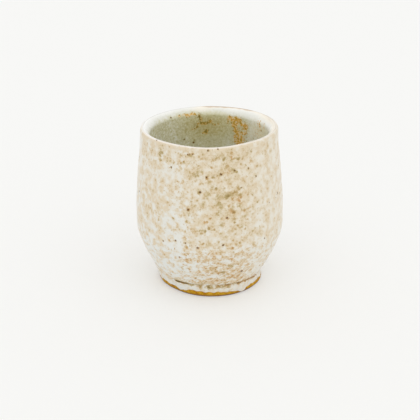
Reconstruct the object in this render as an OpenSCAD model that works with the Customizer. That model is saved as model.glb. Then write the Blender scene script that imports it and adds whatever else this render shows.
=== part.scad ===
// Yunomi: a thrown and trimmed stoneware tea cup without a handle.
// The fired clay body carries three coats of glaze: one outside, one inside, one in the foot well.
// Millimetres, +Z up, origin on the table at the centre of the foot ring.

/* [Cup] */
// Height from the table to the crest of the lip, over the glaze
cup_height = 85.5; // [78:0.5:96]
// Widest diameter, over the glaze
belly_diameter = 78; // [74:0.5:90]
// Height of the soft corner between the trimmed lower wall and the upper wall
belly_height = 30.5; // [26:0.5:38]
// Diameter of the mouth outside the lip, over the glaze
mouth_diameter = 70.8; // [66:0.2:76]
// Height that the upper wall aims at, straight up, before it leans in towards the mouth
upright_height = 57.5; // [46:0.5:64]
// Height from which the upper wall aims almost straight up again, at the lip
neck_height = 70.5; // [64:0.5:76]
// Inward lean that is left in the wall from that height to the lip, on the radius
neck_lean = 0.3; // [0:0.1:1.5]
// Length over which the corner at the belly is softened, on each side
corner_softness = 2.6; // [2:0.1:6]
// Outward swell of the trimmed lower wall
flank_swell = 1.2; // [0:0.1:2.5]

/* [Wall] */
// Clay thickness of the wall at the belly
wall = 3.8; // [3:0.1:5.5]
// Clay thickness across the lip
lip_width = 3.7; // [3:0.1:4.5]
// Distance of the lip's crest from its outer side
lip_crest_inset = 0.8; // [0.5:0.1:2]
// Height over which the lip rounds off on the outside
lip_outer_rise = 1.5; // [1:0.1:4]
// Height over which the lip slopes down on the inside
lip_inner_rise = 3.8; // [1.5:0.1:5]
// Roundness of the lip's inside, from an almost flat bevel to a quarter round
lip_roundness = 0.3; // [0.2:0.05:0.55]
// Clay thickness of the floor in the middle
floor_thickness = 4.6; // [4:0.1:8]
// Radius at which the inside starts to level out into the floor
bowl_radius = 27; // [22:0.5:29]
// Height by which the inside runs straight down from the belly before it turns to the floor
bowl_drop = 15; // [10:0.5:18]

/* [Foot] */
// Diameter of the clay foot just under the crease
foot_diameter = 56.2; // [50:0.2:62]
// Height of the crease where the foot meets the wall
foot_height = 7.2; // [5.6:0.1:9]
// Inward taper of the foot from the crease to the table, on the radius
foot_taper = 0.8; // [0:0.1:1.5]
// Width of the foot ring on the table, with its rounded edges
foot_ring_width = 4.6; // [3.5:0.1:7]
// Rounding of the foot ring's edges
foot_edge_round = 0.8; // [0.3:0.1:1.1]
// Depth of the well inside the foot ring
foot_well_depth = 5.2; // [4.2:0.1:6.5]
// Rounding where the well's wall meets its ceiling
well_round = 1.4; // [0.8:0.1:1.6]
// Depth of the trimmed crease
crease_depth = 0.7; // [0.3:0.1:1.2]
// Width of the trimmed crease
crease_width = 1; // [0.6:0.1:1.4]
// Step by which the wall overhangs the foot at the crease
shoulder_step = 0.9; // [0.2:0.1:1.5]

/* [Glaze] */
// Thickness of the outer glaze on the wall
outer_coat = 0.6; // [0.3:0.05:0.9]
// Thickness of the liner glaze on the inside wall and floor
liner_coat = 0.5; // [0.3:0.05:0.9]
// Thickness of both coats where they meet on the lip's crest
lip_coat = 0.35; // [0.2:0.05:0.6]
// Thickness of the glaze in the foot well
well_coat = 0.35; // [0.2:0.05:0.4]
// Height of the bare clay at the foot, below the glaze
bare_band = 2.2; // [1.5:0.1:3.2]
// Height of the rounded edge where a coat ends on bare clay
coat_roll = 0.7; // [0.3:0.1:0.9]
// Height by which the glaze in the foot well runs down the well's straight wall
well_run = 1; // [0.6:0.1:1.4]

/* [Hidden] */
$fn = 128;

clay_height = cup_height - lip_coat;
belly_radius = belly_diameter / 2 - outer_coat;
mouth_radius = mouth_diameter / 2 - outer_coat;
crest_radius = mouth_radius - lip_crest_inset;
foot_radius = foot_diameter / 2;
foot_base_radius = foot_radius - foot_taper;
well_radius = foot_base_radius - foot_ring_width;
floor_top = foot_well_depth + floor_thickness;
well_line = foot_well_depth - well_round - well_run;
crease_low = foot_height - crease_width / 2;
crease_high = foot_height + crease_width / 2;

// Share of a corner's sides at which the controls of a round quarter sit
round_share = 0.55;
lip_steps = 8;
edge_steps = 4;
corner_steps = 6;
flank_steps = 10;
wall_steps = 14;
bowl_steps = 18;

// Point at share t of the curve that a list of control points sets
function curve_point(controls, t) = len(controls) == 1
    ? controls[0]
    : curve_point([for (i = [0 : len(controls) - 2]) (1 - t) * controls[i] + t * controls[i + 1]], t);

// Points along that curve, both ends included
function curve(controls, steps) = [for (i = [0 : steps]) curve_point(controls, i / steps)];

// A path without its first point, so that it can follow on from another
function following(path) = [for (i = [1 : len(path) - 1]) path[i]];

function reversed(path) = [for (i = [len(path) - 1 : -1 : 0]) path[i]];

function unit(v) = v / norm(v);

// Turn from a to b, whose sides meet at corner. The share of the sides that it follows sets how round it is.
function turn(a, corner, b, share, steps) =
    curve([a, a + share * (corner - a), b + share * (corner - b), b], steps);

// Quarter round from a to b, whose sides meet at corner
function quarter(a, corner, b, steps) = turn(a, corner, b, round_share, steps);

// Radius of the clay foot at height z, up to the crease
function foot_wall_radius(z) = foot_base_radius + foot_taper * z / crease_low;

// Outside of the cup from the glaze line on the foot up to the crest of the lip.
// Side and top are the coat's thickness on the wall and on the crest: 0 gives the bare clay.
function outer_profile(side, top) =
    let (
        shoulder = [foot_radius + shoulder_step + side, crease_high],
        corner = [belly_radius + side, belly_height],
        flank_control = (shoulder + corner) / 2 + [flank_swell, 0],
        flank_end = corner - corner_softness * unit(corner - flank_control),
        belly_top = corner + [0, corner_softness],
        upright = [belly_radius + side, upright_height],
        neck = [mouth_radius + neck_lean + side, neck_height],
        lip_start = [mouth_radius + side, clay_height - lip_outer_rise],
        crest = [crest_radius, clay_height + top],
        lean = lip_outer_rise * round_share * unit(lip_start - neck),
        over = [round_share * (lip_crest_inset + side), 0]
    )
    concat(
        [
            [foot_wall_radius(bare_band) + side, bare_band],
            [foot_radius + side, crease_low],
            [foot_radius - crease_depth + side, foot_height]
        ],
        curve([shoulder, flank_control, flank_end], flank_steps),
        following(curve([flank_end, corner, belly_top], corner_steps)),
        following(curve([belly_top, upright, neck, lip_start], wall_steps)),
        following(curve([lip_start, lip_start + lean, crest + over, crest], lip_steps))
    );

// Inside of the cup from the crest of the lip down to the centre of the floor.
function inner_profile(side, top) =
    let (
        crest = [crest_radius, clay_height + top],
        lip_end = [mouth_radius - lip_width - side, clay_height - lip_inner_rise],
        neck = [lip_end.x + neck_lean, neck_height],
        belly = [belly_radius - wall - side, belly_height + corner_softness],
        upright = [belly.x, upright_height],
        bowl_end = [bowl_radius - side, floor_top + side],
        centre = [0, floor_top + side]
    )
    concat(
        turn(crest, [lip_end.x, crest.y], lip_end, lip_roundness, lip_steps),
        following(curve([lip_end, neck, upright, belly], wall_steps)),
        following(curve([belly, belly - [0, bowl_drop], bowl_end, centre], bowl_steps))
    );

// Well under the foot from its centre out and down to the glaze line on its wall.
function well_profile(side) =
    let (
        ceiling = foot_well_depth - side,
        edge = well_radius - side
    )
    concat(
        [[0, ceiling]],
        quarter([edge - well_round, ceiling], [edge, ceiling], [edge, ceiling - well_round], edge_steps),
        [[edge, well_line]]
    );

// Bare foot ring from the glaze line in the well, round the table face, up to the outer glaze line.
function ring_profile() =
    concat(
        quarter(
            [well_radius, foot_edge_round],
            [well_radius, 0],
            [well_radius + foot_edge_round, 0],
            edge_steps
        ),
        quarter(
            [foot_base_radius - foot_edge_round, 0],
            [foot_base_radius, 0],
            [foot_wall_radius(foot_edge_round), foot_edge_round],
            edge_steps
        )
    );

// Rounded lower edge of the outer coat, from the clay to the coat's face.
function outer_roll() =
    let (
        start = [foot_wall_radius(bare_band), bare_band],
        end = [foot_wall_radius(bare_band + coat_roll) + outer_coat, bare_band + coat_roll]
    )
    quarter(start, [end.x, start.y], end, edge_steps);

// Fired stoneware: wall, floor and foot ring, thrown from one lump.
module clay_body() {
    color("#b98b4e")
    rotate_extrude()
    polygon(concat(
        well_profile(0),
        ring_profile(),
        outer_profile(0, 0),
        following(inner_profile(0, 0))
    ));
}

// Mottled tan and white coat outside, from the lip's crest to the glaze line on the foot.
module outer_glaze() {
    color("#ddd0b8")
    rotate_extrude()
    polygon(concat(
        outer_roll(),
        following(outer_profile(outer_coat, lip_coat)),
        reversed(following(outer_profile(0, 0)))
    ));
}

// Grey-green coat inside, from the lip's crest to the floor.
module liner_glaze() {
    color("#b4b08c")
    rotate_extrude()
    polygon(concat(
        inner_profile(liner_coat, lip_coat),
        reversed(inner_profile(0, 0))
    ));
}

// Coat on the ceiling and upper wall of the foot well.
module foot_glaze() {
    color("#cfc8b4")
    rotate_extrude()
    polygon(concat(
        well_profile(well_coat),
        reversed(well_profile(0))
    ));
}

clay_body();
outer_glaze();
liner_glaze();
foot_glaze();
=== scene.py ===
"""Looks of a hand-thrown tea cup without a handle: fired clay under three coats of glaze.

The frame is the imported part's: metres, +Z up, origin on the table under the middle of the foot ring.
Sizes below are in millimetres unless a name says otherwise. Azimuths in the lists are in degrees round
the cup: 0 faces the camera along -Y, and 90 is +X, at the right of the picture.
"""

import math
from types import SimpleNamespace

import bpy
import numpy as np
from mathutils import Matrix, Vector


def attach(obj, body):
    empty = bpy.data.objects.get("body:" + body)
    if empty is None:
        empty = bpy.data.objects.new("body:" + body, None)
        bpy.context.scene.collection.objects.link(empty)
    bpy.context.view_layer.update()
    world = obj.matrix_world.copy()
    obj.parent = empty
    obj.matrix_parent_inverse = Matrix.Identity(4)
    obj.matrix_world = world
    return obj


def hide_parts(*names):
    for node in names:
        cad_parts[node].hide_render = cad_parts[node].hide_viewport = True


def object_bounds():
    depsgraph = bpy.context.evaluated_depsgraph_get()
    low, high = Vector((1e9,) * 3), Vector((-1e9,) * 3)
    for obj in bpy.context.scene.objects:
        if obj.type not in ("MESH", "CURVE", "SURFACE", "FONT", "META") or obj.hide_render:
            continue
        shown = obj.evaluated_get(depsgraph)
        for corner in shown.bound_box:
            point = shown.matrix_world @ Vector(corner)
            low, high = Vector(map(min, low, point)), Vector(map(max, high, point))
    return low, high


MM = 0.001

# Camera, worked out from the cup's outline in the photograph
FRAME_PX = 420
FOCAL_PX = 878.5
SENSOR_WIDTH = 36.0
CAMERA_AT = (0.0, -433.8, 222.5)
CAMERA_AIM = (0.0, 0.0, 37.7)
CLIP_METRES = (0.01, 100.0)

# Stage and light
PALE_COLOUR = (247, 247, 245)
FLOOR_HALF = 12000.0
FLOOR_DROP = 0.02
FLOOR_ROUGHNESS = 0.9
FLOOR_GLOSS = 0.1
FLOOR_GLOW = 0.35
SKY_COLOUR = (255, 255, 255)
SKY_STRENGTH = 0.89
KEY_STRENGTH = 0.45
KEY_FROM = (0.1, -0.6, 1.0)
KEY_ANGLE = 90.0

# Turned meshes: columns round the cup, and the spacing of rows along a face
OUTER_COLUMNS = 340
LINER_COLUMNS = 360
CLAY_COLUMNS = 300
WELL_COLUMNS = 240
OUTER_ROW = 0.4
LINER_ROW = 0.6
CLAY_ROW = 0.8
WELL_ROW = 0.6
# Rings of a profile: digits that count, distance at which two are one, and the shortest step between two
RING_DIGITS = 3
SAME_RING = 0.02
LEAST_STEP = 0.06
# Curves through rings: the least bend at one, the longest pull by a neighbour, and the turn at a corner
LEAST_BEND = 0.002
LONGEST_PULL = 1.5
SHARP = math.radians(25)
# Directions in radius and height along which rings are sorted. OUT_AND_UP goes by height, and by radius
# where the floor is flat.
UPWARDS = (0.0, 1.0)
OUTWARDS = (1.0, 0.0)
OUT_AND_UP = (0.06, 1.0)
OUT_AND_DOWN = (1.0, -1.0)
# Ring of the lower wall, counted from the shoulder, that sets the wall's slope there
SLOPE_RING = 4

# What the hand left uneven. A pair is where a change starts and where it is complete. A list of pairs goes
# round the cup, as (azimuth, value).
OVAL = 0.2
OVAL_TURN = 80.0
LEAN = -0.45
# Throwing rings outside, which start at a height and end at a depth below the crest
THROW_RING = 0.05
THROW_PITCH = 6.5
THROW_START = (36.0, 48.0)
THROW_END = (4.0, 10.0)
# Rise of the lip, and the power of the height by which the wall follows it
LIP_RISE = [(0, -0.8), (40, 0.1), (80, 0.4), (130, 0.2), (180, 0), (230, -0.4), (280, -0.4), (320, -0.4)]
LIP_POWER = 4
# The foot sits off the axis
FOOT_SHIFT = (0.8, -0.6)
FOOT_SHIFT_FADE = (0.0, 7.0)
# The crease's lift fades out up the lower wall, and the foot's unevenness sets in towards the outer face
FLANK_FADE = (8.0, 17.0)
SKIN = (-3.5, -1.2)
# Height of the crease
CREASE_LEVEL = [
    (-86, 6.5), (-60, 7), (-35, 7.2), (0, 7.7), (40, 7), (55, 6.1), (67, 4.9), (80, 3.4), (92, 2.8),
    (120, 3.4), (180, 5.5), (240, 6.4),
]
# How far glaze fills the crease
CREASE_FILL = [
    (-86, 0.1), (-66, 0.5), (-48, 0.7), (-37, 0), (-27, 0), (-16, 0.6), (0, 0.6), (30, 0.4), (55, 0.1),
    (90, 0), (180, 0.3), (240, 0.3),
]
# How far the wall is tucked in over the foot, from a height to a reach above the shoulder
FOOT_TUCK = [(-90, 0), (35, 0), (60, 0.7), (74, 1.7), (96, 1.7), (130, 0.8), (170, 0)]
TUCK_START = 0.5
TUCK_REACH = 6.0
# How far the foot stands out of round at the table
FOOT_ROUND = [
    (-88, 1.3), (-70, 0.7), (-58, 0.1), (-45, -0.3), (-15, 0), (30, 0), (52, -0.2), (80, 0), (180, 0.2),
]
# Height of the glaze line on the foot
GLAZE_LINE = [
    (-76, 2.6), (-61, 3), (-50, 2.6), (-43, 2.7), (-37, 2.1), (-30, 2.2), (-23, 3.1), (-15, 3.3), (-6, 3.1),
    (0, 2.7), (7, 3), (15, 2.6), (22, 2.4), (28, 1.9), (34, 0.9), (38, 0.9), (42, 2.3), (56, 2.6),
    (67, 2.3), (78, 1.4), (90, 1), (120, 1.8), (150, 1.5), (180, 2.5), (205, 1.4), (240, 2.4), (265, 1.6),
]

# Relief in layers of soft waves: strength, length, and the seed that draws them
OUTER_RELIEF = [(0.03, 3.0, 1), (0.045, 9.0, 2)]
LINER_RELIEF = [(0.03, 3.5, 4), (0.04, 10.0, 5)]
CLAY_RELIEF = [(0.02, 1.8, 6), (0.03, 6.0, 7)]
WELL_RELIEF = [(0.03, 4.0, 8)]
CHATTER_DRIFT = [(0.12, 25.0, 3)]
GLAZE_WOBBLE = [(0.2, 3.5, 9)]
# Waves in a layer, and the shares of its length between which theirs lie
WAVE_COUNT = 40
WAVE_LENGTHS = (0.7, 1.5)
# Depth below the crest and height over the table at which relief sets in
LIP_CALM = (0.0, 1.5)
TABLE_CALM = (0.0, 0.8)
# Trimming marks on the lower wall
CHATTER = 0.035
CHATTER_PITCH = 1.7
CHATTER_START = (9.0, 12.0)
CHATTER_END = (23.0, 28.0)
# Throwing rings inside, on the wall by height and by depth below the crest, and on the bottom by height
LINER_RING = 0.07
LINER_PITCH = 8.0
LINER_START = (22.0, 34.0)
LINER_END = (5.0, 12.0)
BOTTOM_RING = 0.1
BOTTOM_PITCH = 5.0
BOTTOM_END = (11.0, 15.0)
# Rings cut into the well, which end at a radius
WELL_RING = 0.05
WELL_PITCH = 3.2
WELL_END = (20.0, 22.0)
# Radius at which rings on the bottom and in the well set in
MIDDLE_CALM = (0.5, 3.0)

# Colours, as they show under plain light. Stops give a colour's place on its ramp.
COOL_COLOUR = (228, 229, 224)
CREAM_COLOUR = (231, 225, 210)
PEACH_COLOUR = (222, 206, 178)
# Crest: white where the glaze thins on the edge, partly a painted highlight along the crest
CREST_WHITE_AND_HIGHLIGHT_COLOUR = (248, 243, 235)
STRAW_COLOUR = (238, 224, 172)
SPECK_COLOUR = (102, 60, 6)
# Dark line at the table: scorched clay, partly a painted contact shadow
SCORCH_AND_SHADOW_COLOUR = (112, 74, 52)
PEACH_STOPS = [(0.05, (217, 198, 165)), (0.25, (208, 180, 136)), (0.5, (190, 144, 84)), (1, (150, 104, 48))]
OLIVE_STOPS = [(0.05, (212, 198, 164)), (0.25, (196, 176, 130)), (0.5, (166, 142, 86)), (1, (104, 86, 36))]
LIP_TAN_STOPS = [(0.6, (253, 246, 231)), (1.1, (218, 200, 178))]
CELADON_STOPS = [
    (0.05, (252, 252, 249)), (0.30, (234, 234, 224)), (0.50, (219, 216, 188)), (0.70, (205, 200, 160)),
    (0.95, (180, 168, 114)),
]
RUST_STOPS = [
    (0.1, (244, 218, 172)), (0.3, (228, 186, 108)), (0.48, (212, 162, 62)), (0.65, (192, 154, 60)),
    (0.9, (134, 118, 50)),
]
OCHRE_STOPS = [(0.36, (214, 168, 48)), (0.47, (198, 148, 14)), (0.56, (184, 130, 6)), (0.68, (166, 94, 14))]
BUFF_STOPS = [(0.30, (190, 158, 116)), (0.50, (172, 138, 98)), (0.70, (138, 104, 72))]
WELL_STOPS = [(0.2, (227, 226, 216)), (0.5, (222, 208, 182)), (0.8, (200, 170, 124))]

# Noise: size of its largest features, detail, roughness, and in most how far it swings
PATCH_NOISE = (3.4, 2.0, 0.5, 2.6)
DOT_NOISE = (1.3, 3.0, 0.8, 3.2)
HUE_NOISE = (4.0, 2.0, 0.6, 3.0)
INSIDE_CLOUD = (9.0, 1.0, 0.5, 0.15)
INSIDE_GRAIN = (1.2, 2.5, 0.8, 1.4)
RUST_NOISE = (1.0, 2.0, 0.7, 3.2)
RUST_TONE = (1.0, 1.0, 0.5, 2.0)
SPECK_EDGE = (0.5, 1.0, 0.5, 1.2)
CLAY_TONE = (2.2, 3.0, 0.7)
CLAY_GRIT = (0.45, 2.0, 0.5)
WELL_MOTTLE = (3.2, 3.0, 0.75)
WELL_SWING = 1.4

# Finish: roughness as a plain value and what marks add to it, gloss, and depth of the bump
OUTER_ROUGHNESS = (0.3, 0.15)
INSIDE_ROUGHNESS = (0.24, 0.15)
CLAY_ROUGHNESS = (0.5, 0.2)
WELL_ROUGHNESS = (0.28, 0.2)
GLAZE_IOR = 1.5
CLAY_GLOSS = 0.2
GLAZE_BUMP = 0.05
CLAY_BUMP = 0.12

# Mixing of the mottled glaze: shares in its warmth, tan and bump, and the ranges over which colours change
DOT_IN_WARMTH = 0.15
WARM_RANGE = (-0.4, 0.4)
PATCH_IN_TAN = 0.65
TAN_GAIN = 0.9
IRON_IN_TAN = 0.35
STAIN_IN_TAN = 0.35
TAN_RANGE = (0.05, 0.75)
TAN_ON_RAMP = 0.5
HUE_RANGE = (-0.6, 0.8)
DOT_IN_BUMP = 0.5
# Mixing of the inside glaze and of the clay
STAIN_IN_DEPTH = 0.2
RUST_RANGE = (0.3, 0.8)
RUST_EDGE = (0.05, 0.25)
GRAIN_IN_TAN = 0.3
LIP_TAN_RANGE = (0.1, 0.7)
GRIT_IN_BUFF = 0.5
# Strewn soft dots: pitch, range of a cell's shade that picks the strong ones, and reach in pitches
STREWN_PITCH = 2.4
STREWN_PICK = (0.3, 0.7)
STREWN_REACH = (0.5, 0.05)
# Specks: distance at which they stop counting, and the edges of the dark and of its stain in speck radii
SPECK_LIMIT = (4.0, 3.0)
SPECK_DARK = (1.05, 0.6)
SPECK_STAIN = (2.6, 0.9)

# Zones of the outside: the crest and the top by depth below the crest, the foot by height over its corner,
# the wall and the upper wall by height
CREST_FADE = (0.1, 0.7)
TOP_FADE = (1.0, 3.5)
FOOT_FADE = (-0.5, 0.3)
WALL_START = (26.0, 38.0)
UPPER_START = (45.0, 65.0)
# What clouds and zones add to the ground's warmth and coolness, to the iron and to the patches
WARM_CLOUD = 0.2
WARM_FOOT = -0.1
WARM_TOP = 0.15
WARM_FLANK = -0.12
COOL_FLANK = 0.3
COOL_UPPER = -0.35
IRON_CLOUD = 0.5
IRON_FOOT = -0.6
IRON_TOP = -0.4
PATCHY_FOOT = -0.5
PATCHY_FLANK = 1.2
# Hue of the iron from peach to olive: on the lower wall, what the wall adds, and what spots add or take
HUE_FLANK = -0.4
HUE_WALL = 0.6
HUE_SPOT = 0.8
# Marks on the lower wall are narrower by a share, which fades out by height, and flatter below a height
FLANK_NARROWER = 0.1
FLANK_NARROWER_FADE = (18.0, 42.0)
FLANK_FLATTER = 1.5
FLANK_TOP = 30.0
# Round the cup again: warmth of the ground, from white to beige
WARMTH = [
    (-90, 0.1), (-60, 0.12), (-45, 0.12), (-35, 0.06), (-25, -0.04), (-10, 0.1), (5, 0.15), (28, 0.12),
    (45, -0.02), (60, 0.06), (85, 0.06), (120, 0.1), (160, -0.05), (200, 0.1), (240, 0),
]
# How cool the white of the ground is
COOLNESS = [
    (-90, 0.9), (-60, 0.7), (-30, 0.8), (-5, 0.5), (25, 0.3), (60, 0.1), (120, 0.4), (200, 0.6), (240, 0.4),
]
# How far the ground breaks up into patches
PATCHINESS = [
    (-90, 0.8), (-60, 1.15), (-25, 1.05), (0, 0.7), (35, 0.75), (60, 1.1), (130, 0.95), (200, 1.05),
]
# Iron in the glaze, which breaks through in dots
IRON_BIAS = [
    (-90, -0.6), (-74, -0.5), (-60, -0.15), (-35, -0.1), (-13, 0.42), (0, 0.57), (15, 0.57), (30, 0.42),
    (50, -0.15), (66, -0.4), (80, -0.6), (120, 0.4), (160, 0), (200, 0.5), (240, 0.1),
]
# How strongly soft dots are strewn
STREWN = [(-90, 0.5), (-60, 0.45), (0, 0.6), (40, 0.6), (75, 0.55), (110, 0.5), (180, 0.5), (240, 0.5)]
# How far the crest of the lip shows white, partly glaze that thins on the edge and partly a painted
# highlight along the crest
LIP_WHITE_AND_HIGHLIGHT = [(-90, 1), (-40, 0.9), (0, 0.8), (30, 0.7), (60, 0.5), (120, 0.4), (175, 0.5), (190, 1)]
# How dark the crease is, partly glaze pooled in it and partly painted shade in the groove, and how far that
# reaches up and down
CREASE_POOL_AND_SHADE = [
    (-42, 0), (-37, 8), (-28, 8), (-21, 0.2), (15, 0.4), (30, 1.2), (45, 2), (64, 2.6), (74, 1), (100, 1.5),
    (180, 1), (240, 0.4),
]
POOL_AND_SHADE_REACH = 0.75

# How far the outlines of marks stray, the waves that they follow, and how fast a mark falls off
MARK_JITTER = 0.9
SPOT_JITTER = 0.35
FINE_JITTER = 0.2
LIP_JITTER = 0.08
JITTER_LENGTH = 5.0
JITTER_SEEDS = (11, 12)
MARK_FALL = 0.7
# Each mark in the lists below is an azimuth, a height, a half width, a half height and a strength.
# Warm bands and pale clouds outside. The two pale marks at the left edge, at azimuths -82 and -80, are a
# painted reflection along that edge.
CLOUDS_AND_EDGE_REFLECTION = [
    (10, 70, 14, 5, 0.4), (10, 51, 14, 4, 0.4), (20, 19, 7, 6, 0.8), (0, 18, 5, 6, -0.3),
    (0, 34, 26, 2.5, 0.3), (-60, 72, 9, 9, 0.4), (-48, 37, 12, 9, -0.5), (-44, 18, 14, 7, -0.4),
    (20, 81, 20, 3, 1), (-22, 81, 9, 3, 0.8), (14, 60, 10, 9, 0.5), (0, 9.5, 26, 2.2, 1.2),
    (-82, 79, 7, 9, -1.2), (-80, 60, 6, 12, -0.6), (-27, 18, 7, 6, -0.8), (-57, 18, 6, 6, -0.8),
    (80, 50, 9, 30, -0.4), (-26, 80, 3, 2, -0.6), (-4, 82, 1.6, 1, -0.6), (-27, 70, 3, 2, -0.4),
    (-15, 67, 4, 3, -0.5), (5, 69, 1.6, 2, -0.6), (-18, 62, 4, 2, -0.5), (-32, 57, 4, 3, -0.5),
    (-2, 64, 1.6, 1.2, -0.5), (36, 46, 4, 3, -0.8), (21, 45, 2, 2, -0.5), (2, 50, 2, 2, -0.5),
    (-8, 39, 3, 2, -0.5), (-17, 36, 5, 3, -0.35), (-29, 34, 4, 3, -0.4), (-27, 30, 3, 2.5, -0.4),
    (-42, 43, 3, 2, -0.5), (2, 35, 3, 2, -0.2), (-9, 31, 2, 1.5, -0.3), (-35, 52, 2.5, 2.5, -0.4),
    (12, 42, 1.5, 1.5, -0.3),
]
# Spots where iron broke through: olive, golden and peach ones
OLIVE_SPOTS = [
    (-42, 79.5, 1.8, 2.8, 1.3), (-40, 75.5, 1.1, 0.8, 0.6), (12, 80, 1, 0.9, 1.1),
    (23, 79.5, 0.7, 0.7, 0.8), (34, 81.5, 0.9, 0.9, 0.8), (49, 78, 0.9, 0.9, 0.7), (20, 73, 0.9, 1, 1.2),
    (8, 73, 0.7, 1.1, 0.9), (-9, 72, 1, 1, 1.4), (-6, 73.5, 0.9, 0.7, 0.7), (2, 66, 0.8, 1, 0.7),
    (5, 65, 0.7, 0.7, 0.8), (-1, 61, 0.9, 0.8, 1), (8, 61, 1.4, 1.2, 1.1), (13, 61, 0.9, 0.8, 0.9),
    (6, 56.5, 1.7, 0.8, 1.2), (8, 54.5, 0.9, 1.3, 0.9), (7, 52, 1, 1, 0.7), (23, 55, 1, 0.8, 0.9),
    (19, 55, 1, 0.8, 0.8), (-4, 57, 0.9, 1, 1), (-47, 48, 1.3, 1, 0.9), (-44, 44.5, 0.9, 0.7, 0.7),
    (8, 46, 1.3, 0.7, 1), (25, 43.5, 1.3, 0.9, 0.9), (-6, 43.5, 1.9, 0.6, 1.2), (-4, 41, 0.9, 0.7, 0.9),
    (7, 43, 0.9, 0.5, 0.7), (-14, 34, 0.9, 0.7, 0.7), (34, 33.5, 1, 0.9, 0.8), (-13, 28, 1, 0.6, 0.9),
    (-18, 28.5, 1, 0.5, 0.8), (9, 24.5, 0.9, 0.7, 0.9), (20, 21.5, 1.3, 1, 1), (15, 21.5, 0.9, 0.7, 0.8),
    (-25, 20, 1.7, 0.7, 0.9), (-18, 19, 1.9, 0.6, 0.9), (-24, 17, 1.1, 1, 1.1), (-12, 15.5, 1, 0.7, 0.9),
    (11, 17, 1, 1.4, 1.6),
]
GOLD_SPOTS = [
    (-32, 72, 0.8, 1.4, 1.2), (4, 80, 0.8, 1, 1.2), (19, 78.5, 1.1, 1.2, 1.3), (36, 76, 0.8, 1, 0.7),
    (16, 61.5, 1.2, 1.1, 1.3), (20, 62, 0.9, 1.2, 1.1), (24, 57, 0.9, 0.9, 1.1), (17, 57, 0.8, 0.9, 0.9),
    (16, 52.5, 1, 1.1, 1.4), (18.5, 52, 0.8, 0.8, 1.1), (-7, 54.5, 1, 0.9, 1.3), (-56, 35, 0.8, 0.7, 0.8),
    (-13, 43, 1.6, 0.5, 0.9), (10, 41.5, 1, 0.6, 1.1), (-20, 40, 1.2, 0.9, 0.8), (-32, 32.5, 0.7, 1, 0.8),
    (22, 31.5, 1, 0.7, 0.7), (-27, 26, 1.3, 0.9, 0.8), (21, 14.5, 0.8, 0.7, 1),
]
PEACH_SPOTS = [
    (-45, 70.5, 1, 0.9, 0.8), (17, 80, 1.1, 1.1, 1.2), (6, 75.5, 0.7, 0.7, 0.8), (-21, 67, 2.1, 0.8, 0.9),
    (23, 58.5, 0.9, 0.9, 1.6), (30, 53, 0.9, 0.8, 1.1), (-29, 61, 2.2, 0.7, 0.8), (-26, 40, 0.7, 3, 0.6),
    (-31, 35.5, 0.9, 0.9, 0.8), (-3, 31, 1.6, 0.6, 0.9), (2, 27.5, 1.3, 1.1, 0.9), (-4, 24.5, 2.3, 0.7, 1),
    (-18, 25, 1.4, 0.7, 0.8), (17, 26, 0.9, 1.2, 0.8), (-37, 13, 1, 0.7, 1), (-2, 17.5, 0.9, 0.7, 1),
    (20, 17.5, 0.8, 0.6, 0.9), (-18, 44, 2, 1.2, 0.7), (-1, 46, 0.9, 0.8, 0.7), (-35, 42, 1.5, 1.8, 0.6),
]
# Iron dots on the foot wall
FOOT_DOTS = [
    (-21, 6, 1.3, 0.8, 2.4), (-11, 6.2, 1.2, 0.9, 3.2), (-1.5, 5.7, 1.3, 0.8, 3), (9, 6, 1.4, 0.9, 3.2),
    (20, 6.2, 1.5, 0.8, 2.8), (32, 6.4, 1.6, 0.7, 2.4), (-16, 6.3, 0.5, 0.4, 1), (14, 6, 0.6, 0.4, 1.2),
    (42, 6.4, 2.2, 0.6, 1.8), (55, 6.4, 2.2, 0.6, 1.6),
]
# Where the iron is olive at the foot
OLIVES = [(-28, 8, 6, 1, 2), (4, 6, 20, 1.2, 1.1)]
# Darker and paler tones inside
INSIDE_TONES = [
    (180, 75, 13, 5, 0.15), (-172, 70, 9, 4, 0.05), (165, 73, 8, 5, 0.04), (115, 72, 9, 9, -0.1),
]
# Rust and gold where iron ran inside
RUSTS = [
    (159, 80.5, 0.9, 0.9, 1.4), (155.5, 79.5, 1, 1, 1.3), (151, 80, 1.4, 1, 1.3),
    (146, 80.5, 0.7, 0.8, 0.9), (145.5, 78, 0.6, 1.3, 1.1), (151, 77, 1.4, 1, 0.8), (155, 76, 0.8, 1, 0.8),
    (139.5, 77, 1, 1, 1), (152, 73.5, 0.8, 1.4, 1.2), (143.5, 73, 1.9, 0.8, 1.2),
    (149.5, 71.5, 0.9, 0.8, 1.1), (153.5, 69.5, 0.8, 0.8, 1), (149, 70, 0.6, 1.2, 1.1),
    (149, 67.5, 2, 1, 1.3), (151, 66, 1.3, 0.8, 1.4), (145, 67.5, 0.6, 0.8, 1.2), (148, 62, 2, 3, 0.9),
    (150, 55, 2, 4, 0.8), (-148, 82.5, 0.9, 0.8, 0.9), (-153, 82.5, 0.5, 0.6, 1),
    (-157.5, 82, 1.2, 0.7, 1.4), (-161, 82.5, 1.2, 0.6, 0.8), (-165.5, 82, 1.2, 0.5, 0.7),
    (122, 81.5, 0.4, 1.2, 1), (118, 81, 0.5, 1.2, 0.8), (110, 81, 0.4, 1.3, 0.7), (20, 66, 3, 8, 0.9),
    (-60, 70, 2.5, 6, 0.8), (142, 77.5, 1, 1.1, 1), (147, 70, 1.2, 1.1, 1), (140, 75.5, 0.8, 0.8, 0.9),
    (120, 78, 4, 4, 0.3), (128, 70, 4, 4, 0.25), (150, 77, 5, 4.5, 0.25), (146, 69, 4, 5, 0.3),
]
# Where the inside is straw-coloured
STRAWS = [(112, 74, 11, 10, 1), (180, 76, 14, 6, 0.4)]
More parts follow.
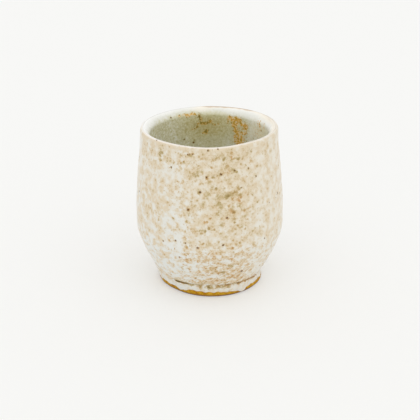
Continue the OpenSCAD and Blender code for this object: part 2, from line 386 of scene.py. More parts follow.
# Olive flecks inside
FLECKS = [
    (-170.5, 81, 0.9, 0.9, 1.2), (-172, 79, 0.6, 1.2, 1.2), (-174, 76.5, 1.3, 0.7, 1.2),
    (-177, 76.5, 1, 0.4, 1.1), (-168, 76.5, 0.8, 0.7, 1), (-167, 74.5, 0.9, 0.6, 1),
    (-164, 73.5, 1, 0.4, 0.8), (179, 77.5, 1.2, 0.7, 1.1), (175, 76, 0.8, 0.6, 0.8),
    (170.5, 76.5, 1, 0.4, 1.2), (-177, 72, 0.9, 1.2, 1.2), (-174, 71.5, 0.8, 0.6, 0.9),
    (161, 78, 0.6, 0.9, 0.8),
]
# Tan on the inside of the lip
LIP_TANS = [
    (114, 85.3, 9, 1.6, 0.45), (92, 85.3, 12, 1.6, 0.45), (68, 85.3, 10, 1.4, 0.45),
    (-172, 84.5, 6, 1.5, 0.5), (176, 85.5, 4, 0.4, 1.2), (168, 85.5, 5, 0.4, 1), (152, 85.5, 12, 0.4, 0.8),
    (142, 85.5, 3, 0.4, 1.1),
]

# Round the inside: how far the white of the lip reaches down, less far at the back as painted shade there,
# and how far the change of colour is drawn out
INSIDE_EDGE = [(180, -2.2), (150, -1.2), (130, -1), (90, 0), (0, 0), (-90, -0.5), (-120, -2), (-155, -2.5)]
INSIDE_FADE = [
    (180, 3.2), (150, 2.6), (130, 3), (100, 1.6), (70, 0.3), (0, 0), (-70, 1.2), (-90, 2.2), (-125, 2.8),
    (-160, 1.9),
]
# Depth at which that change starts and its length, how drawing it out moves both, and how soft it is
INSIDE_START = 2.6
INSIDE_LENGTH = 2.6
FADE_EARLIER = 0.5
FADE_LONGER = 1.5
FADE_SOFT = 0.65
# Depth of colour round the inside
INSIDE_DEPTH = [(180, 0.2), (150, 0.08), (120, -0.33), (60, 0), (0, 0.1), (-60, 0), (-130, 0.05)]
# Depth of colour on the lip, and what the wall, the lower wall and the bowl add by depth below the crest.
# On the lower wall this is painted light: paler lower down, against the shade deep in the cup.
LIP_DEPTH = 0.05
WALL_DEPTH = 0.45
LOWER_PAINTED_LIGHT = -0.16
LOWER_LIGHT_START = (8.0, 24.0)
BOWL_DEPTH = 0.29
BOWL_START = (45.0, 75.0)
# How grainy the inside is, the share of that on the lip, and how strongly soft dots are strewn
INSIDE_GRAININESS = [(-130, 1.15), (-160, 0.9), (180, 0.75), (150, 0.8), (110, 0.9), (0, 1)]
LIP_GRAIN = 0.15
INSIDE_STREWN = 0.2
# Most that rust marks add up to, the cover of straw, and the tone of rust, of flecks, in straw and low down
RUST_MOST = 0.9
STRAW_COVER = 0.55
TONE_RUST = 0.44
TONE_FLECK = 0.45
TONE_STRAW = -0.3
TONE_LOW = -0.2
TONE_LOW_END = (65.0, 74.0)

# Iron specks: azimuth, height, radius
OUTER_SPECKS = [
    (-2, 70.7, 0.5), (9, 72, 0.55), (-7, 63, 0.65), (-16, 53.5, 0.6), (13, 49.5, 0.55), (39, 68, 0.5),
    (25, 64, 0.35), (46, 33.5, 0.5), (10, 35, 0.6), (-9, 33.5, 0.65), (-26, 36, 0.5), (-37, 34, 0.45),
    (-18, 35.5, 0.4), (-24, 26.5, 0.5), (29, 16, 0.8), (20, 73.2, 0.4), (-31, 73.8, 0.45), (-17, 81.7, 0.4),
    (-13, 82, 0.35), (-48, 85.2, 0.35), (-1, 84.3, 0.45), (7, 84.9, 0.4), (32, 73, 0.35), (52, 52, 0.4),
]
LINER_SPECKS = [(-138, 82.5, 0.5), (-164, 65.5, 0.6), (-154, 68, 0.4)]
# Specks where the photograph doesn't reach: how many, azimuths, heights, and the seed that draws them
OUTER_HIDDEN = [(46, (62, 298), (12, 82), 21)]
LINER_HIDDEN = [(16, (-115, 115), (30, 80), 22), (14, (0, 360), (12, 50), 23)]
HIDDEN_SIZES = (0.3, 0.65)

# Bare clay at the foot: width of the ring that counts, and heights of the toasted part and of the dark line
# along the table, which is scorched clay and partly a painted contact shadow
BARE_WIDTH = 4.0
TOAST_START = (0.1, 0.6)
SCORCH_AND_SHADOW_END = (0.6, 1.2)
# Thinness of the glaze in the well, what its edge adds, and the radius of that edge
WELL_THIN = 0.38
WELL_EDGE_THIN = 0.3
WELL_EDGE = (19.5, 22.0)


def srgb(colour):
    """Linear colour of 0 to 255 display values, with full alpha."""
    values = np.asarray(colour, float) / 255.0
    linear = np.where(values <= 0.04045, values / 12.92, ((values + 0.055) / 1.055) ** 2.4)
    return (*linear.tolist(), 1.0)


def ease(value, start, end):
    """0 before start, 1 after end, smooth between."""
    t = np.clip((value - start) / (end - start), 0.0, 1.0)
    return t * t * (3 - 2 * t)


# Shader nodes


class Nodes:
    """Short ways to add and join the nodes of a material or a world."""

    def __init__(self, owner):
        owner.use_nodes = True
        self.owner = owner
        self.tree = owner.node_tree
        self.shader = self.tree.nodes.get("Principled BSDF")

    def put(self, socket, value):
        """Links a socket to another node's output, or sets it to a plain value."""
        if isinstance(value, bpy.types.NodeSocket):
            self.tree.links.new(value, socket)
        else:
            socket.default_value = value

    def fill(self, node, **inputs):
        """Links or sets some inputs of a node. Their names have _ for a space."""
        for name, value in inputs.items():
            self.put(node.inputs[name.replace("_", " ")], value)
        return node

    def add(self, kind, **inputs):
        """A new node with some of its inputs linked or set."""
        return self.fill(self.tree.nodes.new(f"ShaderNode{kind}"), **inputs)

    def math(self, operation, *values):
        """Result of a maths node."""
        node = self.add("Math")
        node.operation = operation
        for socket, value in zip(node.inputs, values):
            self.put(socket, value)
        return node.outputs[0]

    def attribute(self, name, output="Fac"):
        """What paint() stored under a name."""
        node = self.add("Attribute")
        node.attribute_name = name
        return node.outputs[output]

    def noise(self, place, size, detail, roughness):
        """Noise of about 0 to 1, whose largest features are about size across."""
        node = self.add("TexNoise", Vector=place, Scale=1.0 / size, Detail=detail, Roughness=roughness)
        return node.outputs["Fac"]

    def swing(self, value, gain):
        """A noise value as a swing about 0, times gain."""
        return self.math("MULTIPLY_ADD", value, gain, -gain / 2)

    def layer(self, place, settings):
        """Swing of a noise with these settings: size, detail, roughness, gain."""
        *shape, gain = settings
        return self.swing(self.noise(place, *shape), gain)

    def step(self, value, start, end):
        """0 at start, 1 at end, smooth between."""
        node = self.add("MapRange", Value=value, From_Min=start, From_Max=end)
        node.interpolation_type = "SMOOTHSTEP"
        return node.outputs["Result"]

    def ramp(self, value, stops):
        """Colour along a list of (place, display colour)."""
        node = self.add("ValToRGB", Fac=value)
        steps = node.color_ramp.elements
        while len(steps) < len(stops):
            steps.new(0.5)
        for step, (place, colour) in zip(steps, stops):
            step.position = place
            step.color = srgb(colour)
        return node.outputs["Color"]

    def blend(self, amount, below, above):
        """Colour below where amount is 0, above where it is 1."""
        node = self.add("Mix")
        node.data_type = "RGBA"
        self.fill(node, Factor=amount, A=below, B=above)
        return node.outputs["Result"]

    def finish(self, colour, marks, roughness, **inputs):
        """Sets the colour, the roughness as a plain value and what marks add to it, and other inputs."""
        plain, added = roughness
        rough = self.math("MULTIPLY_ADD", marks, added, plain)
        self.fill(self.shader, Base_Color=colour, Roughness=rough, **inputs)

    def bump(self, height, depth):
        """Bump of that depth from a height of about 0 to 1."""
        node = self.add("Bump", Strength=1.0, Distance=depth * MM, Height=height)
        self.fill(self.shader, Normal=node.outputs["Normal"])

    def mixed(self, amount, below, above):
        """Shader of the node below where amount is 0, of the one above where it is 1."""
        mix = self.add("MixShader")
        for socket, value in zip(mix.inputs, (amount, below.outputs[0], above.outputs[0])):
            self.put(socket, value)
        return mix.outputs[0]

    def seen_rays(self):
        """1 for rays from the eye, also mirrored or let through, and 0 for those that bring light."""
        rays = self.add("LightPath").outputs
        mirrored = self.math("MAXIMUM", rays["Is Camera Ray"], rays["Is Glossy Ray"])
        return self.math("MAXIMUM", mirrored, rays["Is Transmission Ray"])


# Camera and stage


def in_scene(name, data):
    """A new object in the scene."""
    made = bpy.data.objects.new(name, data)
    bpy.context.scene.collection.objects.link(made)
    return made


def put_camera():
    """The photograph's camera."""
    data = bpy.data.cameras.new("camera")
    data.sensor_width = SENSOR_WIDTH
    data.lens = SENSOR_WIDTH * FOCAL_PX / FRAME_PX
    data.clip_start, data.clip_end = CLIP_METRES
    camera = in_scene("camera", data)
    at = Vector(CAMERA_AT) * MM
    look = (Vector(CAMERA_AIM) * MM - at).to_track_quat("-Z", "Y")
    camera.matrix_world = Matrix.Translation(at) @ look.to_matrix().to_4x4()
    bpy.context.scene.camera = camera


def put_floor():
    """A plain pale floor, just under the foot ring, whose shadows are as faint as on a lit table."""
    half = FLOOR_HALF * MM
    drop = -FLOOR_DROP * MM
    mesh = bpy.data.meshes.new("floor")
    corners = [(-half, -half, drop), (half, -half, drop), (half, half, drop), (-half, half, drop)]
    mesh.from_pydata(corners, [], [(0, 1, 2, 3)])
    floor = in_scene("floor", mesh)
    nodes = Nodes(bpy.data.materials.new("floor"))
    nodes.fill(
        nodes.shader,
        Base_Color=srgb(PALE_COLOUR),
        Roughness=FLOOR_ROUGHNESS,
        Specular_IOR_Level=FLOOR_GLOSS,
    )
    glow = nodes.add("Emission", Color=srgb(PALE_COLOUR))
    share = nodes.math("MULTIPLY", nodes.seen_rays(), FLOOR_GLOW)
    surface = nodes.mixed(share, nodes.shader, glow)
    nodes.fill(nodes.tree.nodes["Material Output"], Surface=surface)
    mesh.materials.append(nodes.owner)


def put_light():
    """An even sky, whose seen colour is the background's, and one wide soft key from above and in front."""
    world = bpy.data.worlds.new("sky")
    bpy.context.scene.world = world
    nodes = Nodes(world)
    nodes.tree.nodes.clear()
    seen = nodes.add("Background", Color=srgb(PALE_COLOUR))
    light = nodes.add("Background", Color=srgb(SKY_COLOUR), Strength=SKY_STRENGTH)
    nodes.add("OutputWorld", Surface=nodes.mixed(nodes.seen_rays(), light, seen))

    data = bpy.data.lights.new("key", "SUN")
    data.energy = KEY_STRENGTH
    data.angle = math.radians(KEY_ANGLE)
    key = in_scene("key", data)
    key.rotation_euler = Vector(KEY_FROM).to_track_quat("Z", "Y").to_euler()


# Profiles, read from the frame


def rings(node):
    """Rings of a turned CAD node as (radius, height) rows, each once."""
    corners = np.array([v.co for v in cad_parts[node].data.vertices]) / MM
    pairs = np.column_stack((np.hypot(corners[:, 0], corners[:, 1]), corners[:, 2]))
    return np.unique(np.round(pairs, RING_DIGITS), axis=0)


def meets(mine, theirs):
    """Which rings of mine coincide with one of theirs."""
    return np.linalg.norm(mine[:, None] - theirs[None], axis=2).min(axis=1) < SAME_RING


def lies_on(mine, path):
    """Which rings of mine lie on the straight runs of a path."""
    start = path[:-1]
    run = np.diff(path, axis=0)
    share = ((mine[:, None] - start) * run).sum(axis=2) / (run * run).sum(axis=1)
    nearest = start + np.clip(share, 0.0, 1.0)[..., None] * run
    return np.linalg.norm(mine[:, None] - nearest, axis=2).min(axis=1) < SAME_RING


def in_order(path, direction):
    """A path's rings sorted along a direction, without repeats."""
    path = path[np.argsort(path @ direction, kind="stable")]
    step = np.linalg.norm(np.diff(path, axis=0), axis=1)
    return path[np.append(True, step > LEAST_STEP)]


def needed(path):
    """A path without the rings that lie inside a straight run."""
    run = path[2:] - path[:-2]
    part = path[1:-1] - path[:-2]
    bend = np.abs(run[:, 0] * part[:, 1] - run[:, 1] * part[:, 0]) / np.linalg.norm(run, axis=1)
    return path[np.concatenate(([True], bend > LEAST_BEND, [True]))]


def smooth(path, spacing):
    """Rows about every spacing along the smooth curve through a path, with a row at each sharp corner."""
    run = np.diff(path, axis=0)
    step = np.linalg.norm(run, axis=1)
    along = np.concatenate(([0.0], np.cumsum(step)))
    slope = np.gradient(path, along, axis=0)
    reach = LONGEST_PULL * np.minimum(np.append(step, step[-1]), np.append(step[0], step))
    heading = np.unwrap(np.arctan2(run[:, 1], run[:, 0]))
    corners = np.flatnonzero(np.abs(np.diff(heading)) > SHARP) + 1
    marks = along[np.concatenate(([0], corners, [len(path) - 1]))]
    stretches = []
    for low, high in zip(marks, marks[1:]):
        count = max(1, round((high - low) / spacing))
        stretches.append(np.linspace(low, high, count + 1))
    at = np.unique(np.concatenate(stretches))
    low = np.clip(np.searchsorted(along, at) - 1, 0, len(along) - 2)
    t = ((at - along[low]) / step[low])[:, None]
    pull_out = slope[low] * np.minimum(step[low], reach[low])[:, None]
    pull_in = slope[low + 1] * np.minimum(step[low], reach[low + 1])[:, None]
    start = (1 + 2 * t) * (1 - t) ** 2 * path[low] + t * (1 - t) ** 2 * pull_out
    end = t * t * (3 - 2 * t) * path[low + 1] + t * t * (t - 1) * pull_in
    return start + end


def from_axis(path):
    """A path that runs out from the axis, with its first point on it."""
    return path if path[0, 0] < LEAST_STEP else np.vstack(([0.0, path[0, 1]], path))


def coat(node, clay, direction):
    """A coat's rings on the clay and those of its finished face, each sorted along a direction."""
    mine = rings(node)
    behind = in_order(mine[meets(mine, clay)], direction)
    face = in_order(mine[~lies_on(mine, behind)], direction)
    return behind, face


def read_profiles():
    """The finished face of each coat and the clay behind it, each as a path of (radius, height) rows."""
    clay = rings("clay_body")
    found = SimpleNamespace()
    behind, face = coat("outer_glaze", clay, UPWARDS)
    found.outer_back = needed(behind)
    found.outer_face = needed(np.vstack((behind[:1], face)))
    behind, face = coat("liner_glaze", clay, OUT_AND_UP)
    found.liner_back = needed(behind)
    found.liner_face = needed(face)
    behind, face = coat("foot_glaze", clay, OUT_AND_DOWN)
    found.well_back = needed(from_axis(behind))
    found.well_face = needed(from_axis(face))
    bare = clay[clay[:, 1] < found.outer_back[0, 1] - LEAST_STEP]
    found.ring = needed(in_order(bare, OUTWARDS))
    return found


# Unevenness


def around(points, azimuth):
    """Value at each azimuth of a given list of (azimuth, value), eased between its points."""
    points = sorted((turn % 360.0, value) for turn, value in points)
    at = np.array([turn for turn, _ in points] + [points[0][0] + 360.0])
    value = np.array([value for _, value in points] + [points[0][1]])
    turn = (np.degrees(azimuth) - at[0]) % 360.0 + at[0]
    low = np.clip(np.searchsorted(at, turn, side="right") - 1, 0, len(at) - 2)
    t = (turn - at[low]) / (at[low + 1] - at[low])
    return value[low] + (value[low + 1] - value[low]) * t * t * (3 - 2 * t)


def waves(points, length, seed):
    """Soft random field of about unit strength, with waves of about that length."""
    draw = np.random.default_rng(seed)
    turn = draw.normal(size=(WAVE_COUNT, 3))
    turn /= np.linalg.norm(turn, axis=1)[:, None]
    pace = math.tau / (length * draw.uniform(*WAVE_LENGTHS, WAVE_COUNT))
    phase = draw.uniform(0, math.tau, WAVE_COUNT)
    total = np.zeros(len(points))
    for k in range(WAVE_COUNT):
        total += np.sin(points @ (turn[k] * pace[k]) + phase[k])
    return total * math.sqrt(2.0 / WAVE_COUNT)


def ripple(points, layers):
    """Sum of layers of soft waves: (strength, length, seed)."""
    return sum(strength * waves(points, length, seed) for strength, length, seed in layers)


def spiral(run, pitch, azimuth):
    """Wave of a spiral mark that gains one pitch along the run for each turn."""
    return np.sin(math.tau * run / pitch + azimuth)


def points_of(azimuth, radius, height):
    """Places of points that are given round the axis."""
    return np.column_stack((radius * np.sin(azimuth), -radius * np.cos(azimuth), height))


def crease_lift(azimuth):
    """How far the crease lies above its true height."""
    return around(CREASE_LEVEL, azimuth) - CREASE_HEIGHT


def as_thrown(azimuth, radius, height):
    """Where a point of the true turned form sits on the cup as the hand left it, on a flat table face."""
    rise = np.clip(height / CUP_HEIGHT, 0.0, 1.0)
    oval = OVAL * rise * np.cos(2 * (azimuth - math.radians(OVAL_TURN)))
    throw = THROW_RING * spiral(height, THROW_PITCH, azimuth)
    throw *= ease(height, *THROW_START) * ease(CUP_HEIGHT - height, *THROW_END)
    skin = ease(radius - np.interp(height, paths.outer_face[:, 1], paths.outer_face[:, 0]), *SKIN)
    share = np.where(height < FOOT_TOP, height / FOOT_TOP, 1 - ease(height, *FLANK_FADE))
    lift = crease_lift(azimuth) * share * skin
    along = FLANK_SLOPE * lift * ease(height, FOOT_TOP, SHOULDER_HEIGHT)
    inside = np.clip(1 - np.abs(height - CREASE_HEIGHT) / (CREASE_HEIGHT - FOOT_TOP), 0.0, 1.0)
    fill = around(CREASE_FILL, azimuth) * CREASE_DEPTH * inside * skin
    tuck = around(FOOT_TUCK, azimuth) * ease(height, TUCK_START, FOOT_TOP) * skin
    tuck *= 1 - ease(height, SHOULDER_HEIGHT, SHOULDER_HEIGHT + TUCK_REACH)
    lip = around(LIP_RISE, azimuth) * rise**LIP_POWER
    foot = 1 - ease(height, *FOOT_SHIFT_FADE)
    out = radius * (1.0 + (oval + throw) / BELLY_RADIUS) + along + fill - tuck
    out += around(FOOT_ROUND, azimuth) * foot * skin
    place = points_of(azimuth, out, height + lift + lip)
    place[:, 0] += LEAN * rise + FOOT_SHIFT[0] * foot
    place[:, 1] += FOOT_SHIFT[1] * foot
    return place


# Turned meshes


def turned(name, columns, *stretches):
    """A closed mesh turned from stretches of (rows, whether they show), with each vertex's polar place.

    A path that starts on the axis also ends there, in a point. Any other closes on itself.
    """
    path = np.vstack([rows for rows, _ in stretches])
    shows = np.concatenate([np.full(len(rows), seen) for rows, seen in stretches])
    pointed = path[0, 0] < LEAST_STEP
    body = slice(1, -1) if pointed else slice(None)
    rows = path[body]
    count = len(rows)
    this = np.arange(count * columns).reshape(count, columns)
    after = np.roll(this, -1, axis=1)
    low = np.arange(count - 1 if pointed else count)
    high = (low + 1) % count
    faces = np.stack((this[low], after[low], after[high], this[high]), axis=-1).reshape(-1, 4).tolist()
    smooth_faces = np.repeat(shows[body][low] & shows[body][high], columns)
    tangent = np.gradient(rows, axis=0)
    tangent /= np.linalg.norm(tangent, axis=1)[:, None]
    part = SimpleNamespace()
    part.azimuth = np.tile(np.linspace(0.0, math.tau, columns, endpoint=False), count)
    part.radius = np.repeat(rows[:, 0], columns)
    part.height = np.repeat(rows[:, 1], columns)
    part.shows = np.repeat(shows[body], columns)
    part.out_radius = np.repeat(tangent[:, 1], columns)
    part.out_height = np.repeat(-tangent[:, 0], columns)
    if pointed:
        ends = [0, -1]
        part.height = np.append(part.height, path[ends, 1])
        part.shows = np.append(part.shows, shows[ends])
        for key in ("azimuth", "radius", "out_radius", "out_height"):
            setattr(part, key, np.append(getattr(part, key), [0.0, 0.0]))
        first = count * columns
        final = first + 1
        faces += [(first, after[0, k], this[0, k]) for k in range(columns)]
        faces += [(final, this[-1, k], after[-1, k]) for k in range(columns)]
        smooth_faces = np.concatenate((smooth_faces, np.repeat(shows[ends], columns)))
    mesh = bpy.data.meshes.new(name)
    mesh.from_pydata(np.zeros((len(part.azimuth), 3)).tolist(), [], faces)
    mesh.polygons.foreach_set("use_smooth", smooth_faces)
    part.piece = in_scene(name, mesh)
    return part


def place_of(part):
    """Places of a piece's vertices on the true turned form."""
    return points_of(part.azimuth, part.radius, part.height)


def settle(part, relief):
    """Puts a turned piece's vertices where the hand left them, raised along the face by the relief."""
    radius = part.radius + part.out_radius * relief
    height = part.height + part.out_height * relief
    part.points = as_thrown(part.azimuth, radius, height)
    part.piece.data.vertices.foreach_set("co", (part.points * MM).astype(np.float32).ravel())
    part.piece.data.update()


def paint(part, **fields):
    """Stores named numbers or vectors, one per vertex, for the material to read."""
    for name, values in fields.items():
        values = np.asarray(values, np.float32)
        kind, key = ("FLOAT", "value") if values.ndim == 1 else ("FLOAT_VECTOR", "vector")
        attribute = part.piece.data.attributes.new(name, kind, "POINT")
        attribute.data.foreach_set(key, values.ravel())


def dress(part, node, slot, mix):
    """Gives a piece the material that a function mixes, and its place in the frame."""
    nodes = Nodes(bpy.data.materials.new(slot))
    mix(nodes)
    part.piece.data.materials.append(nodes.owner)
    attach(part.piece, "root")
    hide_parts(node)


# Marks on the glaze


def spread(part, mark, jitter):
    """Soft round field of one mark: (azimuth, height, half width, half height, strength)."""
    turn, level, width, tall, strength = mark
    across = ((np.degrees(part.azimuth) - turn + 180.0) % 360.0 - 180.0) * np.pi / 180.0 * part.radius
    away = ((across + jitter[0]) / width) ** 2 + ((part.height - level + jitter[1]) / tall) ** 2
    return strength * np.exp(-MARK_FALL * away)


def field(part, marks, ragged=MARK_JITTER):
    """Sum of the marks' soft fields over a piece, with ragged outlines."""
    place = place_of(part)
    jitter = [ragged * waves(place, JITTER_LENGTH, seed) for seed in JITTER_SEEDS]
    return sum(spread(part, mark, jitter) for mark in marks)


def add_specks(part, path, specks):
    """Stores the way to the nearest speck, how far it is and its size, so that specks stay crisp."""
    nearest = np.full(len(part.radius), np.inf)
    way = np.zeros((len(part.radius), 3))
    size = np.ones(len(part.radius))
    rows = path[np.argsort(path[:, 1])]
    for turn, level, reach in specks:
        azimuth = np.array([math.radians(turn)])
        radius = np.interp([level], rows[:, 1], rows[:, 0])
        aim = as_thrown(azimuth, radius, np.array([level])) - part.points
        far = np.linalg.norm(aim, axis=1)
        closer = far < nearest
        nearest[closer] = far[closer]
        way[closer] = aim[closer]
        size[closer] = reach
    paint(part, speck_way=way, speck_far=nearest, speck_size=size)


def hidden_specks(areas):
    """Specks strewn over areas that the photograph doesn't show: (count, azimuths, heights, seed)."""
    specks = []
    for count, turns, levels, seed in areas:
        draw = np.random.default_rng(seed)
        turn = draw.uniform(*turns, count)
        level = draw.uniform(*levels, count)
        size = draw.uniform(*HIDDEN_SIZES, count)
        specks += zip(turn, level, size)
    return specks


# Materials


def speck_cover(nodes, place):
    """Cover of the specks, and the wider stain round them."""
    length = nodes.add("VectorMath")
    length.operation = "LENGTH"
    nodes.put(length.inputs[0], nodes.attribute("speck_way", "Vector"))
    away = nodes.math("DIVIDE", length.outputs["Value"], nodes.attribute("speck_size"))
    away = nodes.math("ADD", away, nodes.layer(place, SPECK_EDGE))
    near = nodes.step(nodes.attribute("speck_far"), *SPECK_LIMIT)
    dark = nodes.math("MULTIPLY", nodes.step(away, *SPECK_DARK), near)
    stain = nodes.math("MULTIPLY", nodes.step(away, *SPECK_STAIN), near)
    return dark, stain


def strewn_dots(nodes, place):
    """Soft iron dots, some of them strong: points strewn through space, where the surface passes close."""
    cells = nodes.add("TexVoronoi", Vector=place, Scale=1.0 / STREWN_PITCH)
    strength = nodes.step(cells.outputs["Color"], *STREWN_PICK)
    return nodes.math("MULTIPLY", nodes.step(cells.outputs["Distance"], *STREWN_REACH), strength)


def mottled_glaze(nodes):
    """Cool white ground with warm patches and tan dots, where iron broke through, and dark iron specks."""
    flow = nodes.attribute("flow", "Vector")
    patchiness = nodes.attribute("patchiness")
    patch = nodes.math("MULTIPLY", nodes.layer(flow, PATCH_NOISE), patchiness)
    dot = nodes.math("MULTIPLY", nodes.layer(flow, DOT_NOISE), patchiness)
    dark, stain = speck_cover(nodes, flow)
    warmth = nodes.math("ADD", nodes.attribute("warmth"), patch)
    warm = nodes.step(nodes.math("MULTIPLY_ADD", dot, DOT_IN_WARMTH, warmth), *WARM_RANGE)
    tan = nodes.math("MULTIPLY_ADD", patch, PATCH_IN_TAN, dot)
    tan = nodes.math("MULTIPLY", tan, TAN_GAIN)
    # The iron also carries painted shade in the crease
    tan = nodes.math("MULTIPLY_ADD", nodes.attribute("iron"), IRON_IN_TAN, tan)
    tan = nodes.math("MULTIPLY_ADD", stain, STAIN_IN_TAN, tan)
    tan = nodes.math("MULTIPLY_ADD", strewn_dots(nodes, flow), nodes.attribute("strewn"), tan)
    cover = nodes.step(tan, *TAN_RANGE)
    hue = nodes.math("ADD", nodes.attribute("olive"), nodes.layer(flow, HUE_NOISE))
    strength = nodes.math("MULTIPLY", tan, TAN_ON_RAMP)
    peach = nodes.ramp(strength, PEACH_STOPS)
    olive = nodes.ramp(strength, OLIVE_STOPS)
    white = nodes.blend(nodes.attribute("coolness"), srgb(CREAM_COLOUR), srgb(COOL_COLOUR))
    colour = nodes.blend(warm, white, srgb(PEACH_COLOUR))
    colour = nodes.blend(cover, colour, nodes.blend(nodes.step(hue, *HUE_RANGE), peach, olive))
    # White crest: glaze thinning on the edge, partly a painted highlight
    colour = nodes.blend(nodes.attribute("crest"), colour, srgb(CREST_WHITE_AND_HIGHLIGHT_COLOUR))
    colour = nodes.blend(dark, colour, srgb(SPECK_COLOUR))
    nodes.finish(colour, cover, OUTER_ROUGHNESS, IOR=GLAZE_IOR)
    nodes.bump(nodes.math("MULTIPLY_ADD", dot, DOT_IN_BUMP, patch), GLAZE_BUMP)


def celadon_glaze(nodes):
    """Grey-green inside, almost white where it thins on the lip, with rust where iron ran."""
    flow = nodes.attribute("flow", "Vector")
    grain = nodes.math("MULTIPLY", nodes.layer(flow, INSIDE_GRAIN), nodes.attribute("grain"))
    dark, stain = speck_cover(nodes, flow)
    depth = nodes.math("ADD", nodes.attribute("depth"), grain)
    depth = nodes.math("ADD", depth, nodes.layer(flow, INSIDE_CLOUD))
    depth = nodes.math("MULTIPLY_ADD", stain, STAIN_IN_DEPTH, depth)
    depth = nodes.math("MULTIPLY_ADD", strewn_dots(nodes, flow), nodes.attribute("strewn"), depth)
    marks = nodes.attribute("rust")
    rust = nodes.math("ADD", marks, nodes.layer(flow, RUST_NOISE))
    cover = nodes.math("MULTIPLY", nodes.step(rust, *RUST_RANGE), nodes.step(marks, *RUST_EDGE))
    tone = nodes.math("ADD", nodes.layer(flow, RUST_TONE), nodes.attribute("olive"))
    tan = nodes.attribute("tan")
    tint = nodes.step(nodes.math("MULTIPLY_ADD", grain, GRAIN_IN_TAN, tan), *LIP_TAN_RANGE)
    colour = nodes.blend(tint, nodes.ramp(depth, CELADON_STOPS), nodes.ramp(tan, LIP_TAN_STOPS))
    colour = nodes.blend(nodes.attribute("straw"), colour, srgb(STRAW_COLOUR))
    colour = nodes.blend(cover, colour, nodes.ramp(tone, RUST_STOPS))
    colour = nodes.blend(dark, colour, srgb(SPECK_COLOUR))
    nodes.finish(colour, cover, INSIDE_ROUGHNESS, IOR=GLAZE_IOR)
    nodes.bump(grain, GLAZE_BUMP)


def stoneware(nodes):
    """Bare clay: toasted ochre along the glaze line, scorched with painted contact shadow at the table,
    buff and gritty below.
    """
    place = nodes.attribute("flow", "Vector")
    tone = nodes.noise(place, *CLAY_TONE)
    grit = nodes.noise(place, *CLAY_GRIT)
    ground = nodes.math("MULTIPLY", tone, 1 - GRIT_IN_BUFF)
    buff = nodes.ramp(nodes.math("MULTIPLY_ADD", grit, GRIT_IN_BUFF, ground), BUFF_STOPS)
    colour = nodes.blend(nodes.attribute("toast"), buff, nodes.ramp(tone, OCHRE_STOPS))
    colour = nodes.blend(nodes.attribute("scorch"), colour, srgb(SCORCH_AND_SHADOW_COLOUR))
    nodes.finish(colour, grit, CLAY_ROUGHNESS, Specular_IOR_Level=CLAY_GLOSS)
    nodes.bump(nodes.math("ADD", grit, tone), CLAY_BUMP)


def well_glaze(nodes):
    """Pale coat in the foot well, tan where it runs thin."""
    mottle = nodes.noise(nodes.attribute("flow", "Vector"), *WELL_MOTTLE)
    thin = nodes.math("ADD", nodes.attribute("thin"), nodes.swing(mottle, WELL_SWING))
    nodes.finish(nodes.ramp(thin, WELL_STOPS), mottle, WELL_ROUGHNESS, IOR=GLAZE_IOR)
    nodes.bump(mottle, GLAZE_BUMP)


# Pieces


def draw_glaze_line(part):
    """Draws the outer coat on the foot up or down, so that it ends at the wavy glaze line."""
    line = paths.outer_back[0, 1]
    rim = points_of(part.azimuth, FOOT_RADIUS, np.zeros(len(part.azimuth)))
    low = around(GLAZE_LINE, part.azimuth) + ripple(rim, GLAZE_WOBBLE)
    low /= 1 + crease_lift(part.azimuth) / FOOT_TOP
    moved = low + (part.height - line) * (FOOT_TOP - low) / (FOOT_TOP - line)
    drawn = np.where(part.height < FOOT_TOP, moved, part.height)
    part.radius = part.radius + FOOT_SLOPE * (drawn - part.height)
    part.height = drawn


def paint_outside(part):
    """Stores what the mottled glaze reads, with painted light and shade among it: where it is white, warm,
    cool, patchy, olive or rich in iron.
    """
    down = CUP_HEIGHT - part.height
    top = 1 - ease(down, *TOP_FADE)
    foot = 1 - ease(part.height - FOOT_TOP, *FOOT_FADE)
    wall = ease(part.height, *WALL_START)
    # Clouds, with a painted reflection down the left edge
    clouds_and_edge_reflection = field(part, CLOUDS_AND_EDGE_REFLECTION)
    olive = field(part, OLIVE_SPOTS, SPOT_JITTER)
    gold = field(part, GOLD_SPOTS, SPOT_JITTER)
    peach = field(part, PEACH_SPOTS, SPOT_JITTER)
    dots = field(part, FOOT_DOTS, FINE_JITTER)
    warmth = WARM_CLOUD * clouds_and_edge_reflection + around(WARMTH, part.azimuth)
    warmth += WARM_FOOT * foot + WARM_TOP * top + WARM_FLANK * (1 - wall)
    coolness = around(COOLNESS, part.azimuth)
    coolness += COOL_FLANK * (1 - wall) + COOL_UPPER * ease(part.height, *UPPER_START)
    # Darker in the crease: pooled glaze and painted shade, carried in the iron
    pool_and_shade = np.exp(-(((part.height - CREASE_HEIGHT) / POOL_AND_SHADE_REACH) ** 2))
    iron = IRON_CLOUD * clouds_and_edge_reflection + olive + gold + peach + dots + around(IRON_BIAS, part.azimuth)
    iron += around(CREASE_POOL_AND_SHADE, part.azimuth) * pool_and_shade + IRON_FOOT * foot + IRON_TOP * top
    patchiness = PATCHY_FLANK + (around(PATCHINESS, part.azimuth) - PATCHY_FLANK) * wall
    narrower = 1 + FLANK_NARROWER * (1 - ease(part.height, *FLANK_NARROWER_FADE))
    flatter = FLANK_TOP + (part.height - FLANK_TOP) * FLANK_FLATTER
    flow = place_of(part) * narrower[:, None]
    flow[:, 2] = np.where(part.height < FLANK_TOP, flatter, part.height)
    paint(
        part,
        crest=around(LIP_WHITE_AND_HIGHLIGHT, part.azimuth) * (1 - ease(down, *CREST_FADE)),
        warmth=warmth,
        coolness=np.clip(coolness, 0.0, 1.0),
        iron=iron,
        patchiness=patchiness + PATCHY_FOOT * foot,
        olive=field(part, OLIVES) + HUE_SPOT * (olive - peach) + HUE_WALL * wall + HUE_FLANK,
        strewn=around(STREWN, part.azimuth),
        flow=flow,
    )


